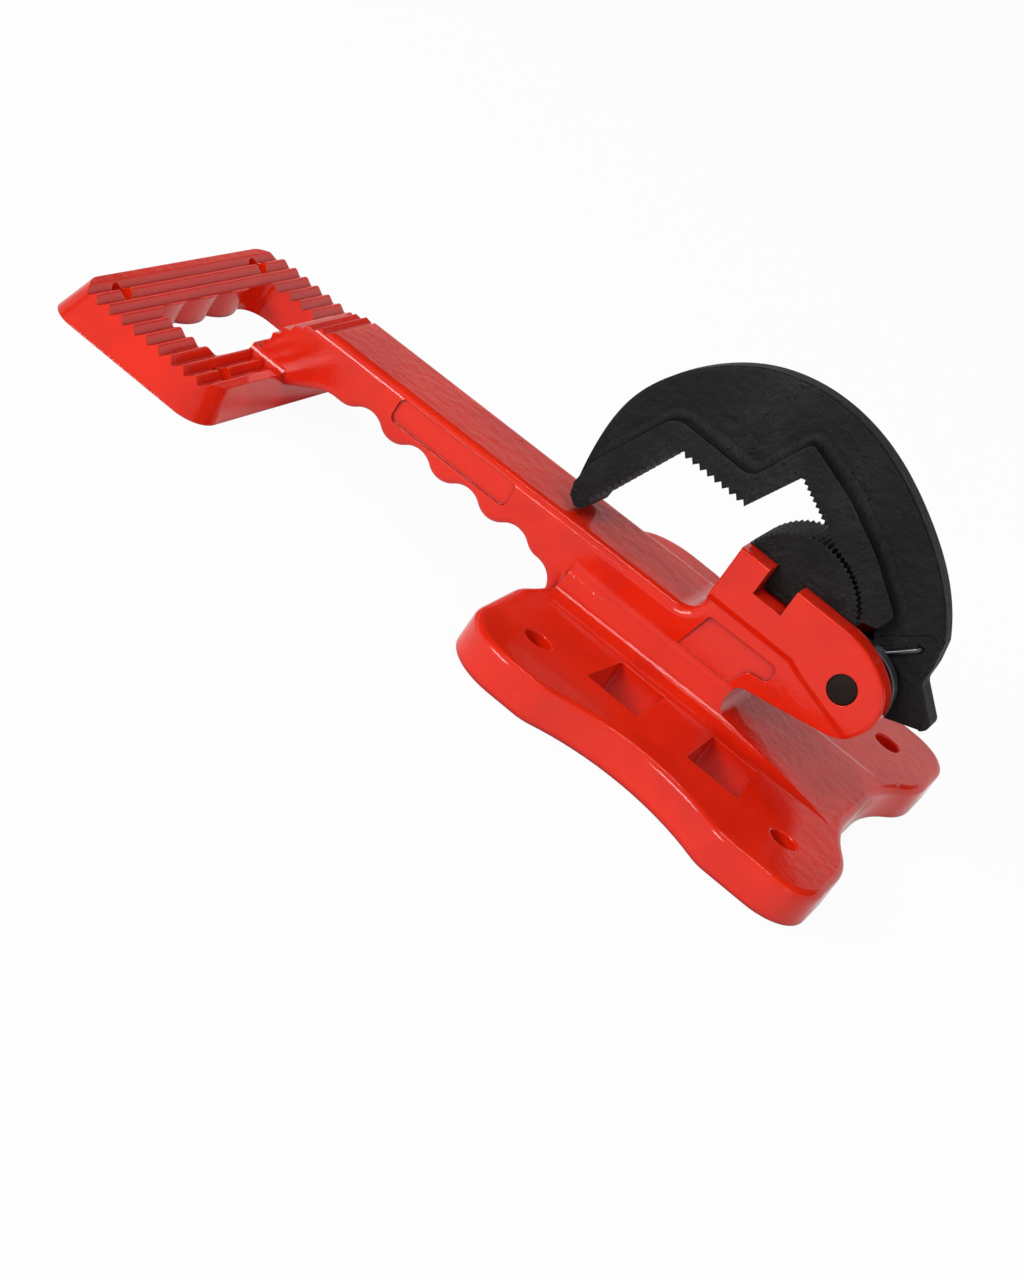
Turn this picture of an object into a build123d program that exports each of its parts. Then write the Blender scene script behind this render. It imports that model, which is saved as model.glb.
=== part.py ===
from build123d import *
import math
import os

os.makedirs("parts", exist_ok=True)

# Frame of the part: origin at the centre of the base's bolt pattern on its underside,
# +X from the foot plate towards the jaws, +Z up. Outline points are (x, height above the deck),
# where the deck is the top face of the base.

# Base plate
deck = 16.5
base_half_width = 109.5
base_front_x = 85.0
base_rear_x = -84.0
front_lobe_radius = 20.0
rear_lobe_radius = 26.0
side_waist = 97.0
side_waist_radius = 75.0
side_shoulder_radius = 16.0
end_waist_flat = 16.0
front_waist_x = 72.0
front_waist_radius = 70.0
front_shoulder_radius = 40.0
rear_waist_x = -78.0
rear_waist_radius = 74.0
rear_shoulder_radius = 25.0
base_edge_radius = 3.0
base_foot_radius = 1.5

# Bolt holes and windows of the base
bolt_spacing_x = 120.0
bolt_spacing_y = 152.4
bolt_hole_radius = 5.9
bolt_hole_rim = 0.7
window_inner_y = 41.0
window_outer_y = 74.0
window_start_x = 12.0
window_inner_end_x = 34.0
window_outer_end_x = 37.0
window_corner = 1.5

# Pedestal flare and the low spine that it leaves under the nose
flare_radius = 14.0
spine_height = 3.8
spine_end_x = 67.0
gap_start_x = 4.8
gap_corner = 5.0

# Arm
arm_half_width = 23.3
arm_top = 27.4
arm_top_slope = 0.021
arm_edge_radius = 4.5
arm_grip_radius = 3.5
finger_pitch = 25.7
finger_depth = 4.9
finger_count = 4
finger_first_x = -193.0
finger_first_low = 2.3
finger_slope = 0.011
root_land = 0.55
neck_bend_x = -200.5
neck_bend_radius = 15.0
neck_foot_x = -220.0
neck_foot_height = -8.8
post_fillet = 8.5

# Bare sunk panel in each side of the arm
side_panel_start_x = -172.0
side_panel_length = 60.0
side_panel_height = 11.0
side_panel_low = 11.2
side_panel_corner = 3.0
side_panel_depth = 1.2

# Serrated hump where the arm comes down on the foot plate
hump_centre_x = -208.6
hump_centre_height = -2.8
hump_radius = 26.4
hump_pitch = 5.5
hump_tooth_depth = 1.7
hump_tooth_count = 7
hump_fillet = 5.0

# Foot plate, with every side leaning out towards the underside
plate_start_x = -292.0
plate_front_lean = 3.0
plate_end_top_x = -219.5
plate_end_lean = 5.0
plate_top_half_width = 83.5
plate_side_lean = 8.5
plate_crest_height = -3.0
plate_corner = 15.0
ridge_first_x = -288.7
ridge_pitch = 6.55
ridge_count = 11
ridge_depth = 2.3
ridge_crest = 1.1
ridge_valley = 0.5
ridge_softness = 0.5
plate_hole_front_x = -283.0
plate_hole_rear_x = -229.0
plate_hole_y = 60.0
plate_hole_radius = 4.5

# Ring opening of the foot plate, with finger bulges on its front wall
ring_start_x = -271.4
ring_end_x = -237.3
ring_half_width = 46.0
ring_side_lean = 10.0
ring_corner = 11.0
bulge_first_y = -50.7
bulge_pitch = 28.1
bulge_depth = 2.9
bulge_count = 3

# Post and cheeks
cheek_half_width = 25.4
clevis_half_gap = 13.9
clevis_start_x = 18.0
post_x = -25.0
seat_height = 62.0
seat_end_x = 26.0
nose_radius = 17.3
nose_x = 40.3
nose_height = 39.8
nose_slope = 0.186
cheek_rim_radius = 2.0
cheek_step_height = 36.5
cheek_step_run = 3.0
cheek_step_points = [(16.0, 36.5), (21.1, 34.3), (50.5, 25.6)]
notch_start_x = -10.8
notch_end_x = 3.0
notch_floor = 50.2
web_panel_points = [
    (-25.0, 8.0),
    (-19.3, 31.0),
    (15.2, 31.6),
    (14.4, 24.2),
    (5.2, 23.0),
    (-0.6, 8.0),
]
web_panel_radii = [1.5, 3.0, 3.5, 4.0]
web_panel_depth = 1.8
web_panel_foot = 9.0

# Pivot pin and its fits
pin_x = 39.2
pin_height = 42.3
pin_radius = 6.35
pin_running_fit = 0.08
pin_chamfer = 0.5

# Heel jaw
heel_half_width = 13.7
heel_end_x = 27.9
heel_top = 80.4
heel_front_radius = 26.4
heel_rear_radius = 30.6
heel_front_tooth_count = 14
heel_rear_tooth_count = 15
jaw_tooth_depth = 1.2
tongue_half_width = 13.3
tongue_fit = 0.3
tongue_clear = 1.0
tongue_corner = 2.0

# Screw that holds the heel down on its seat, and the well it goes up through
screw_x = -4.4
screw_radius = 3.0
screw_head_radius = 5.0
screw_head_height = 6.0
screw_socket = 5.0
screw_socket_depth = 3.0
screw_length = 40.0
screw_chamfer = 0.5
screw_hole_clear = 0.3
thread_fit = 0.05
washer_thickness = 1.6
washer_split = 1.0
well_radius = 5.8
well_roof = 28.0

# Hook jaw
web_half_thickness = 6.0
band_half_width = 13.5
hub_radius = 15.0
jaw_gap = 0.5
web_rim_radius = 1.2
hook_tip = (-97.6, 34.5)
hook_back = [
    (-99.9, 52.0),
    (-98.2, 76.0),
    (-83.4, 101.4),
    (-59.5, 119.6),
    (-32.9, 126.0),
    (-4.5, 122.3),
    (22.5, 109.9),
    (47.5, 90.7),
    (58.4, 76.0),
]
hook_tail = [
    (60.6, 66.0),
    (60.8, 57.9),
    (74.6, 45.6),
    (71.6, 42.0),
    (47.0, 33.0),
]
hook_tail_radii = [20.0, 4.0, 3.0, 3.0]
hook_throat = [(33.0, 50.0), (36.0, 58.4), (34.2, 62.4), (32.6, 68.0)]
hook_core = [
    (13.0, 86.0),
    (-23.0, 102.5),
    (-35.5, 77.5),
    (-71.5, 77.5),
    (-91.0, 36.0),
]
band_outer = [
    (-96.6, 36.0),
    (-94.9, 47.0),
    (-77.8, 83.3),
    (-39.9, 82.7),
    (-28.0, 108.9),
    (-3.2, 100.4),
    (18.9, 88.3),
    (37.6, 74.2),
    (34.4, 66.4),
]
band_outer_radii = [25.0, 9.0, 7.0, 3.0, 60.0, 60.0, 3.5, 2.0]
band_tip = [(-87.0, 29.4), (-90.5, 27.4), (-95.0, 30.6)]
band_tip_radii = [1.0, 3.0, 2.5]
tooth_line = [(-86.7, 33.0), (-69.0, 72.2), (-35.4, 71.7), (-23.7, 95.1)]
tooth_counts = [14, 9, 14, 13]
tooth_depths = [1.7, 2.1, 1.0, 1.2]
throat_tooth_count = 14
throat_end_angle = 28.0
throat_start_angle = 81.0

# Spring pocket and spring hole in the hook's web
pocket_depth = 1.3
pocket_points = [
    (30.0, 57.5),
    (51.6, 75.6),
    (57.6, 76.0),
    (58.9, 66.5),
    (56.6, 63.8),
    (59.5, 57.0),
    (70.9, 46.5),
    (70.6, 38.0),
    (48.0, 25.0),
    (30.0, 25.0),
]
pocket_radii = [3.0, 3.5, 2.0, 1.5, 3.0, 1.5, 1.0, 1.0]
spring_hole = (52.3, 68.3)
spring_hole_radius = 1.6

# Torsion spring
wire_radius = 1.0
coil_radius = 17.2
coil_pitch = 2.05
coil_turn_count = 3
coil_start_y = -12.3
coil_drop = 0.9
leg_angle = 44.5
leg_bend_radius = 1.5
spring_anchor_depth = 6.0
anchor_fit = 0.3


def lift(points):
    """Turn heights above the deck into heights above the underside."""
    return [(x, deck + height) for x, height in points]


def between(first, second, share):
    """Point at a share of the way between two points."""
    return (first[0] + (second[0] - first[0]) * share, first[1] + (second[1] - first[1]) * share)


def corner(sketch, x, height):
    """Vertex of a sketch nearest to a point."""
    return sketch.vertices().sort_by_distance((x, height))[0]


def edge_at(part, x, y, height):
    """Edge of a part nearest to a point."""
    return part.edges().sort_by_distance((x, y, height))[0]


def toothed_line(start, end, count, depth):
    """Tooth crests and roots between two points, with roots to the left of the way."""
    run = Vector(*end) - Vector(*start)
    inward = run.rotate(Axis.Z, 90).normalized() * depth
    points = []
    for index in range(count):
        crest = Vector(*start) + run * (index / count)
        root = Vector(*start) + run * ((index + 0.5) / count) + inward
        points += [(crest.X, crest.Y), (root.X, root.Y)]
    return points


def toothed_arc(centre, radius, start_angle, end_angle, count, depth):
    """Tooth crests at one radius and roots at that radius plus depth."""
    points = []
    for index in range(count):
        for share, reach in ((0.0, radius), (0.5, radius + depth)):
            angle = math.radians(start_angle + (end_angle - start_angle) * (index + share) / count)
            points.append((centre[0] + reach * math.cos(angle), centre[1] + reach * math.sin(angle)))
    return points


side_view = Plane.XZ

# Tangency of the base plate's outline: waists between shoulders on every side
side_arc_y = side_waist + side_waist_radius
side_shoulder_y = base_half_width - side_shoulder_radius
side_shoulder_x = math.sqrt(
    (side_waist_radius + side_shoulder_radius) ** 2 - (side_arc_y - side_shoulder_y) ** 2
)
side_joint = between(
    (0, side_arc_y),
    (side_shoulder_x, side_shoulder_y),
    side_waist_radius / (side_waist_radius + side_shoulder_radius),
)


def base_quarter(end_x, lobe_radius, waist_x, waist_radius, shoulder_radius):
    """Tangent arcs from the side's waist round a lobe to the waist of one end."""
    way = math.copysign(1, end_x)
    side = (way * side_joint[0], side_joint[1])
    arc_x = waist_x + way * waist_radius
    knee_x = end_x - way * shoulder_radius
    reach = waist_radius + shoulder_radius
    knee_y = end_waist_flat + math.sqrt(reach**2 - (arc_x - knee_x) ** 2)
    joint = between((arc_x, end_waist_flat), (knee_x, knee_y), waist_radius / reach)
    waist = TangentArc((0, side_waist), side, tangent=(way, 0))
    shoulder = TangentArc(side, (way * side_shoulder_x, base_half_width), tangent=waist % 1)
    lobe_start = (end_x - way * lobe_radius, base_half_width)
    Line(shoulder @ 1, lobe_start)
    lobe = TangentArc(lobe_start, (end_x, base_half_width - lobe_radius), tangent=(way, 0))
    Line(lobe @ 1, (end_x, knee_y))
    knee = TangentArc((end_x, knee_y), joint, tangent=(0, -1))
    TangentArc(joint, (waist_x, end_waist_flat), tangent=knee % 1)
    Line((waist_x, end_waist_flat), (waist_x, 0))


def base_outline():
    """Two quarters of the base's outline, mirrored."""
    base_quarter(
        base_front_x, front_lobe_radius, front_waist_x, front_waist_radius, front_shoulder_radius
    )
    base_quarter(base_rear_x, rear_lobe_radius, rear_waist_x, rear_waist_radius, rear_shoulder_radius)
    mirror(about=Plane.XZ)


# Base plate with its bolt holes and windows
with BuildSketch() as windows:
    with BuildLine():
        Polyline(
            (window_start_x, window_inner_y),
            (window_inner_end_x, window_inner_y),
            (window_outer_end_x, window_outer_y),
            (window_start_x, window_outer_y),
            close=True,
        )
    make_face()
    fillet(windows.vertices(), radius=window_corner)
    mirror(about=Plane.YZ)
    mirror(about=Plane.XZ)
with BuildPart() as base:
    with BuildSketch():
        with BuildLine():
            base_outline()
        make_face()
    extrude(amount=deck)
    fillet(base.faces().sort_by(Axis.Z)[-1].edges(), radius=base_edge_radius)
    fillet(base.faces().sort_by(Axis.Z)[0].edges(), radius=base_foot_radius)
    with BuildSketch():
        add(windows.sketch)
        with GridLocations(bolt_spacing_x, bolt_spacing_y, 2, 2):
            Circle(bolt_hole_radius)
    extrude(amount=deck, mode=Mode.SUBTRACT)
    top_circles = base.faces().sort_by(Axis.Z)[-1].edges().filter_by(GeomType.CIRCLE)
    fillet([edge for edge in top_circles if edge.radius == bolt_hole_radius], radius=bolt_hole_rim)

# Side view of the arm: fingers under it from equal tangent arcs, set out along its slope
finger_lean = math.atan(finger_slope)
finger_radius = (finger_pitch**2 / 16 + finger_depth**2 / 4) / finger_depth
hump_step = math.degrees(hump_pitch / hump_radius)
crest = deck + plate_crest_height
valley = crest - ridge_depth


def arm_top_at(x):
    """Height of the arm's top face."""
    return deck + arm_top + arm_top_slope * x


def under_arm(along, up):
    """Point under the arm, along its slope from the first finger ridge."""
    x = finger_first_x + along * math.cos(finger_lean) - up * math.sin(finger_lean)
    height = finger_first_low + along * math.sin(finger_lean) + up * math.cos(finger_lean)
    return (x, deck + height)


def hump_point(step, sink):
    """Point of the serrated curve, in steps from the top and sunk below the crests."""
    angle = math.radians(90 + hump_step * step)
    reach = hump_radius - sink
    x = hump_centre_x + reach * math.cos(angle)
    return (x, deck + hump_centre_height + reach * math.sin(angle))


neck_bend = under_arm(neck_bend_x - finger_first_x, 0)
root_start = under_arm(finger_count * finger_pitch, 0)
arm_root = (root_start[0] + finger_radius + root_land, root_start[1])


def arm_outline():
    """Neck, finger ridges, root, top face and serrated hump."""
    quarter = finger_pitch / 4
    half = finger_depth / 2
    Polyline((neck_foot_x, deck + neck_foot_height), neck_bend, under_arm(0, 0))
    lean = (math.cos(finger_lean), math.sin(finger_lean))
    TangentArc(under_arm(0, 0), under_arm(quarter, half), tangent=lean)
    for index in range(finger_count):
        low = index * finger_pitch
        if index:
            ThreePointArc(
                under_arm(low - quarter, half), under_arm(low, 0), under_arm(low + quarter, half)
            )
        hollow = ThreePointArc(
            under_arm(low + quarter, half),
            under_arm(low + 2 * quarter, finger_depth),
            under_arm(low + 3 * quarter, half),
        )
    TangentArc(hollow @ 1, root_start, tangent=hollow % 1)
    Polyline(
        root_start,
        arm_root,
        (arm_root[0], 0),
        (gap_start_x, 0),
        (gap_start_x, arm_top_at(post_x)),
        (post_x, arm_top_at(post_x)),
        hump_point(0.5, 0),
    )
    serration = [hump_point(0.5, 0)]
    for index in range(hump_tooth_count):
        serration.append(hump_point(index + 1, hump_tooth_depth))
        serration.append(hump_point(index + 1.5, 0))
    serration.append(hump_point(hump_tooth_count + 1, hump_tooth_depth))
    serration.append((ring_end_x, valley))
    serration.append((ring_end_x, 0))
    serration.append((neck_foot_x, 0))
    serration.append((neck_foot_x, deck + neck_foot_height))
    Polyline(*serration)


# Side view of the post, shoulder and nose: the shoulder arc is tangent to the seat and the nose
seat = deck + seat_height
nose_centre = (nose_x, deck + nose_height)
nose_end_x = nose_x + nose_radius
shoulder_rise = nose_height - seat_height
shoulder_run = nose_x - seat_end_x
shoulder_radius = (nose_radius**2 - shoulder_run**2 - shoulder_rise**2) / (
    2 * (shoulder_rise + nose_radius)
)
shoulder_centre = (seat_end_x, seat - shoulder_radius)
shoulder_joint = between(
    shoulder_centre, nose_centre, shoulder_radius / (shoulder_radius - nose_radius)
)
nose_lean = math.atan(nose_slope)
nose_foot = (
    nose_centre[0] + nose_radius * math.sin(nose_lean),
    nose_centre[1] - nose_radius * math.cos(nose_lean),
)
gap_roof = nose_foot[1] - (nose_foot[0] - gap_start_x) * nose_slope


def yoke_outline():
    """Post, seat, shoulder, nose and the nose's lower edge."""
    Polyline((post_x, deck / 2), (post_x, seat), (seat_end_x, seat))
    shoulder = TangentArc((seat_end_x, seat), shoulder_joint, tangent=(1, 0))
    TangentArc(shoulder_joint, nose_foot, tangent=shoulder % 1)
    Polyline(nose_foot, (gap_start_x, gap_roof), (gap_start_x, deck / 2), (post_x, deck / 2))


# Arm, pedestal, post and nose as one thickness, with rounded top and grip edges
with BuildPart() as core:
    with BuildSketch(side_view) as core_side:
        with BuildLine():
            arm_outline()
        make_face()
        with BuildLine():
            yoke_outline()
        make_face()
        fillet(corner(core_side, *neck_bend), radius=neck_bend_radius)
        fillet(corner(core_side, *arm_root), radius=finger_radius)
        fillet(corner(core_side, post_x, arm_top_at(post_x)), radius=post_fillet)
        fillet(corner(core_side, gap_start_x, gap_roof), radius=gap_corner)
    extrude(amount=arm_half_width, both=True)
    mid_arm_x = (post_x + hump_centre_x) / 2
    grip_x, grip_height = under_arm(finger_pitch / 2, finger_depth)
    both_sides = (-arm_half_width, arm_half_width)
    top_edges = [edge_at(core, mid_arm_x, y, arm_top_at(mid_arm_x)) for y in both_sides]
    fillet(top_edges, radius=arm_edge_radius)
    grip_edges = [edge_at(core, grip_x, y, grip_height) for y in both_sides]
    fillet(grip_edges, radius=arm_grip_radius)

# Raised cheek plates, with a sloped step along their lower edge
step_depth = cheek_half_width - arm_half_width
cheek_root = clevis_half_gap + cheek_rim_radius
cheek_plane = side_view.offset(cheek_root)
with BuildPart() as cheeks:
    with BuildSketch(cheek_plane):
        with BuildLine():
            yoke_outline()
        make_face()
    extrude(amount=cheek_half_width - cheek_root)
    with BuildSketch(cheek_plane):
        with BuildLine():
            Polyline(
                (post_x, deck + cheek_step_height),
                *lift(cheek_step_points),
                (nose_end_x, deck + cheek_step_points[-1][1]),
                (nose_end_x, seat),
                (post_x, seat),
                close=True,
            )
        make_face()
    extrude(amount=cheek_half_width - cheek_root, mode=Mode.INTERSECT)
    outer_face = cheeks.faces().sort_by(Axis.Y)[0]
    step_edges = [
        edge
        for edge in outer_face.edges().filter_by(GeomType.LINE)
        if edge.center().Z <= deck + cheek_step_height and edge.center().X > post_x
    ]
    chamfer(step_edges, length=cheek_step_run, length2=step_depth, reference=outer_face)
    outer_face = cheeks.faces().sort_by(Axis.Y)[0]
    rim_foot = deck + cheek_step_height + cheek_step_run
    rim_edges = [edge for edge in outer_face.edges() if edge.center().Z > rim_foot]
    fillet(rim_edges, radius=cheek_rim_radius)
    mirror(about=Plane.XZ)

# Sunk web panel, cut by a tilted plane that leaves the side face at the panel's foot
panel_rise = web_panel_points[1][1] - web_panel_foot
panel_tilt = math.atan(web_panel_depth / panel_rise)
web_panel_plane = Plane(
    origin=(0, -arm_half_width, deck + web_panel_foot),
    x_dir=(1, 0, 0),
    z_dir=(0, -math.cos(panel_tilt), math.sin(panel_tilt)),
)
with BuildPart() as web_panel:
    with BuildSketch(web_panel_plane):
        with BuildLine():
            panel_corners = [(x, height - web_panel_foot) for x, height in web_panel_points]
            FilletPolyline(*panel_corners, radius=web_panel_radii)
            Line(panel_corners[-1], panel_corners[0])
        make_face()
    extrude(amount=2 * web_panel_depth)
    mirror(about=Plane.XZ)

# Bare panel in the arm's side, parallel to the arm's top
side_panel_plane = Plane(
    origin=(
        side_panel_start_x + side_panel_length / 2,
        -arm_half_width,
        deck + side_panel_low + side_panel_height / 2,
    ),
    x_dir=(1, 0, arm_top_slope),
    z_dir=(0, -1, 0),
)
with BuildPart() as side_panel:
    with BuildSketch(side_panel_plane):
        RectangleRounded(side_panel_length, side_panel_height, side_panel_corner)
    extrude(amount=-side_panel_depth)
    mirror(about=Plane.XZ)

# Where the spring's straight leg enters the frame, the coil's pitch taken along the leg
coil_centre_height = deck + pin_height - coil_drop
coil_top = coil_centre_height + coil_radius
anchor_run = pin_x - clevis_start_x + spring_anchor_depth / 2
anchor_y = coil_start_y - anchor_run * coil_pitch / (2 * math.pi * coil_radius)

# Arm with its yoke: clevis slot, cross notch, pin bore and spring anchor hole
with BuildPart() as yoke:
    add(core.part)
    add(cheeks.part)
    add(web_panel.part, mode=Mode.SUBTRACT)
    add(side_panel.part, mode=Mode.SUBTRACT)
    with BuildSketch(Plane.XY.offset(deck)):
        with Locations(((clevis_start_x + nose_end_x) / 2, 0)):
            Rectangle(nose_end_x - clevis_start_x, 2 * clevis_half_gap)
    extrude(amount=seat_height, mode=Mode.SUBTRACT)
    with BuildSketch(side_view):
        with Locations(((notch_start_x + notch_end_x) / 2, deck + (notch_floor + seat_height) / 2)):
            Rectangle(notch_end_x - notch_start_x, seat_height - notch_floor)
        with Locations((pin_x, deck + pin_height)):
            Circle(pin_radius)
    extrude(amount=cheek_half_width, both=True, mode=Mode.SUBTRACT)
    with BuildSketch(Plane.YZ.offset(clevis_start_x)):
        with Locations((anchor_y, coil_top)):
            Circle(wire_radius + anchor_fit)
    extrude(amount=-spring_anchor_depth - anchor_fit, mode=Mode.SUBTRACT)

# Pedestal flare: concave flanks down to the deck, cut back to a low spine under the nose
flare_half_width = arm_half_width + flare_radius
flare_start_x = rear_waist_x + base_edge_radius
flare_hang = flare_radius * (1 - math.sqrt(0.5))
with BuildPart() as flare:
    with BuildSketch(Plane.YZ.offset(flare_start_x)):
        with BuildLine():
            Line((0, deck + flare_radius), (arm_half_width, deck + flare_radius))
            ThreePointArc(
                (arm_half_width, deck + flare_radius),
                (arm_half_width + flare_hang, deck + flare_hang),
                (flare_half_width, deck),
            )
            Polyline((flare_half_width, deck), (flare_half_width, deck / 2), (0, deck / 2))
            mirror(about=Plane.YZ)
        make_face()
    extrude(amount=spine_end_x - flare_start_x)
    with BuildSketch(side_view) as spine_side:
        with BuildLine():
            Polyline(
                (flare_start_x, deck / 2),
                (flare_start_x, deck + flare_radius),
                (gap_start_x, deck + flare_radius),
                (gap_start_x, deck + spine_height),
                (spine_end_x, deck),
                (spine_end_x, deck / 2),
                close=True,
            )
        make_face()
        fillet(corner(spine_side, gap_start_x, deck + spine_height), radius=gap_corner)
    extrude(amount=flare_half_width, both=True, mode=Mode.INTERSECT)

# Ring opening: side walls that lean out upwards, bulges on the front wall
ring_top_half_width = ring_half_width + ring_side_lean
with BuildPart() as ring:
    with BuildSketch(Plane.YZ.offset(ring_start_x)):
        with BuildLine():
            Polyline(
                (-ring_half_width, 0),
                (-ring_top_half_width, deck),
                (ring_top_half_width, deck),
                (ring_half_width, 0),
                close=True,
            )
        make_face()
    extrude(amount=ring_end_x - ring_start_x)
    fillet(ring.edges().group_by(Axis.Z)[1], radius=ring_corner)
    with BuildSketch():
        for index in range(bulge_count):
            bulge_y = bulge_first_y + index * bulge_pitch
            with BuildLine():
                ThreePointArc(
                    (ring_start_x, bulge_y),
                    (ring_start_x + bulge_depth, bulge_y + bulge_pitch / 2),
                    (ring_start_x, bulge_y + bulge_pitch),
                )
                Polyline(
                    (ring_start_x, bulge_y + bulge_pitch),
                    (ring_start_x - bulge_depth, bulge_y + bulge_pitch),
                    (ring_start_x - bulge_depth, bulge_y),
                    (ring_start_x, bulge_y),
                )
            make_face()
    extrude(amount=deck, mode=Mode.SUBTRACT)

# Foot plate with cross ridges, ring opening and four screw holes
ridge_last_x = ridge_first_x + (ridge_count - 1) * ridge_pitch
slope_run = (ridge_pitch - ridge_crest) / 2
plate_front_foot_x = plate_start_x - plate_front_lean
plate_end_foot_x = plate_end_top_x + plate_end_lean
plate_foot_half_width = plate_top_half_width + plate_side_lean
with BuildPart() as foot_plate:
    with BuildSketch(side_view):
        with BuildLine():
            Polyline(
                (plate_front_foot_x, 0),
                (plate_start_x, crest),
                (plate_end_top_x, crest),
                (plate_end_foot_x, 0),
                close=True,
            )
        make_face()
    extrude(amount=plate_foot_half_width, both=True)
    with BuildSketch(Plane.YZ.offset(plate_front_foot_x)):
        with BuildLine():
            Polyline(
                (-plate_foot_half_width, 0),
                (-plate_top_half_width, crest),
                (plate_top_half_width, crest),
                (plate_foot_half_width, 0),
                close=True,
            )
        make_face()
    extrude(amount=plate_end_foot_x - plate_front_foot_x, mode=Mode.INTERSECT)
    fillet(foot_plate.edges().group_by(Axis.Z)[1], radius=plate_corner)
    with BuildSketch(side_view) as ridges:
        with BuildLine():
            profile = [(plate_front_foot_x, 0), (plate_front_foot_x, crest)]
            for index in range(ridge_count - 1):
                valley_x = ridge_first_x + (index + 0.5) * ridge_pitch
                profile.append((valley_x - slope_run, crest))
                profile.append((valley_x - ridge_valley / 2, valley))
                profile.append((valley_x + ridge_valley / 2, valley))
                profile.append((valley_x + slope_run, crest))
            profile.append((plate_end_foot_x, crest))
            profile.append((plate_end_foot_x, 0))
            Polyline(*profile, close=True)
        make_face()
        soft = [vertex for vertex in ridges.vertices() if ridge_first_x < vertex.X < ridge_last_x]
        fillet(soft, radius=ridge_softness)
    extrude(amount=plate_foot_half_width, both=True, mode=Mode.INTERSECT)
    add(ring.part, mode=Mode.SUBTRACT)
    with BuildSketch():
        for x in (plate_hole_front_x, plate_hole_rear_x):
            with Locations((x, -plate_hole_y), (x, plate_hole_y)):
                Circle(plate_hole_radius)
    extrude(amount=deck, mode=Mode.SUBTRACT)

# Fillets where the hump's sides meet the foot plate's valleys
foot_hang = hump_fillet * (1 - math.sqrt(0.5))
foot_y = arm_half_width + hump_fillet
with BuildPart() as hump_feet:
    with BuildSketch(Plane.YZ.offset(ring_end_x)):
        with BuildLine():
            Line((0, valley + hump_fillet), (arm_half_width, valley + hump_fillet))
            ThreePointArc(
                (arm_half_width, valley + hump_fillet),
                (arm_half_width + foot_hang, valley + foot_hang),
                (foot_y, valley),
            )
            Polyline((foot_y, valley), (foot_y, 0), (0, 0))
            mirror(about=Plane.YZ)
        make_face()
    extrude(amount=plate_end_top_x - ring_end_x)

# One casting, with the heel screw's well and hole
with BuildPart() as frame:
    add(base.part)
    add(flare.part)
    add(yoke.part)
    add(foot_plate.part)
    add(hump_feet.part)
    with BuildSketch():
        with Locations((screw_x, 0)):
            Circle(well_radius)
    extrude(amount=deck + well_roof, mode=Mode.SUBTRACT)
    with BuildSketch():
        with Locations((screw_x, 0)):
            Circle(screw_radius + screw_hole_clear)
    extrude(amount=deck + notch_floor, mode=Mode.SUBTRACT)

# Heel jaw: two toothed arcs over a flat seat, with a tongue for the cross notch
heel_front_centre = (0, deck + heel_top - heel_front_radius)
heel_rear_centre = (0, deck + heel_top - heel_rear_radius)
front_angle = 180 - math.degrees(math.asin((seat - heel_front_centre[1]) / heel_front_radius))
rear_angle = math.degrees(math.asin((seat - heel_rear_centre[1]) / heel_rear_radius))
tongue_floor = deck + notch_floor + tongue_clear
tongue_root = seat + jaw_tooth_depth
head_seat = deck + well_roof - washer_thickness
with BuildPart() as heel_jaw:
    with BuildSketch(side_view):
        with BuildLine():
            front = toothed_arc(
                heel_front_centre,
                heel_front_radius,
                front_angle,
                90,
                heel_front_tooth_count,
                -jaw_tooth_depth,
            )
            rear = toothed_arc(
                heel_rear_centre, heel_rear_radius, 90, rear_angle, heel_rear_tooth_count, -jaw_tooth_depth
            )
            Polyline(*front, *rear, (heel_end_x, seat), close=True)
        make_face()
    extrude(amount=heel_half_width, both=True)
    with BuildSketch(side_view) as tongue:
        with BuildLine():
            Polyline(
                (notch_start_x + tongue_fit, tongue_root),
                (notch_start_x + tongue_fit, tongue_floor),
                (notch_end_x - tongue_fit, tongue_floor),
                (notch_end_x - tongue_fit, tongue_root),
                close=True,
            )
        make_face()
        fillet(tongue.vertices().group_by(Axis.Y)[0], radius=tongue_corner)
    extrude(amount=tongue_half_width, both=True)
    with BuildSketch(Plane.XY.offset(tongue_floor)):
        with Locations((screw_x, 0)):
            Circle(screw_radius + thread_fit)
    extrude(amount=head_seat + screw_length + tongue_clear - tongue_floor, mode=Mode.SUBTRACT)

# Pivot pin, flush with the cheeks
with BuildPart() as pivot_pin:
    with BuildSketch(side_view):
        with Locations((pin_x, deck + pin_height)):
            Circle(pin_radius)
    extrude(amount=cheek_half_width, both=True)
    chamfer(pivot_pin.edges().filter_by(GeomType.CIRCLE), length=pin_chamfer)

# Side view of the hook: its throat teeth run round the heel's rear arc
jaw_radius = heel_rear_radius + jaw_gap
throat = toothed_arc(
    heel_rear_centre,
    jaw_radius,
    throat_start_angle,
    throat_end_angle,
    throat_tooth_count,
    jaw_tooth_depth,
)
throat_end = toothed_arc(heel_rear_centre, jaw_radius, throat_end_angle, 0, 1, 0)[0]
legs = [*lift(tooth_line), throat[0]]
teeth = []
for index, count in enumerate(tooth_counts):
    teeth += toothed_line(legs[index], legs[index + 1], count, tooth_depths[index])
back = lift([hook_tip, *hook_back])
crown = back[len(back) // 2]
tail = lift([hook_back[-1], *hook_tail])
outer = lift(band_outer)


def web_outline():
    """Back, tail and throat of the hook's web, closed inside the band."""
    Spline(back)
    FilletPolyline(tail, radius=hook_tail_radii)
    Polyline(tail[-1], (pin_x, deck + pin_height), *lift(hook_throat), *lift(hook_core), back[0])


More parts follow.
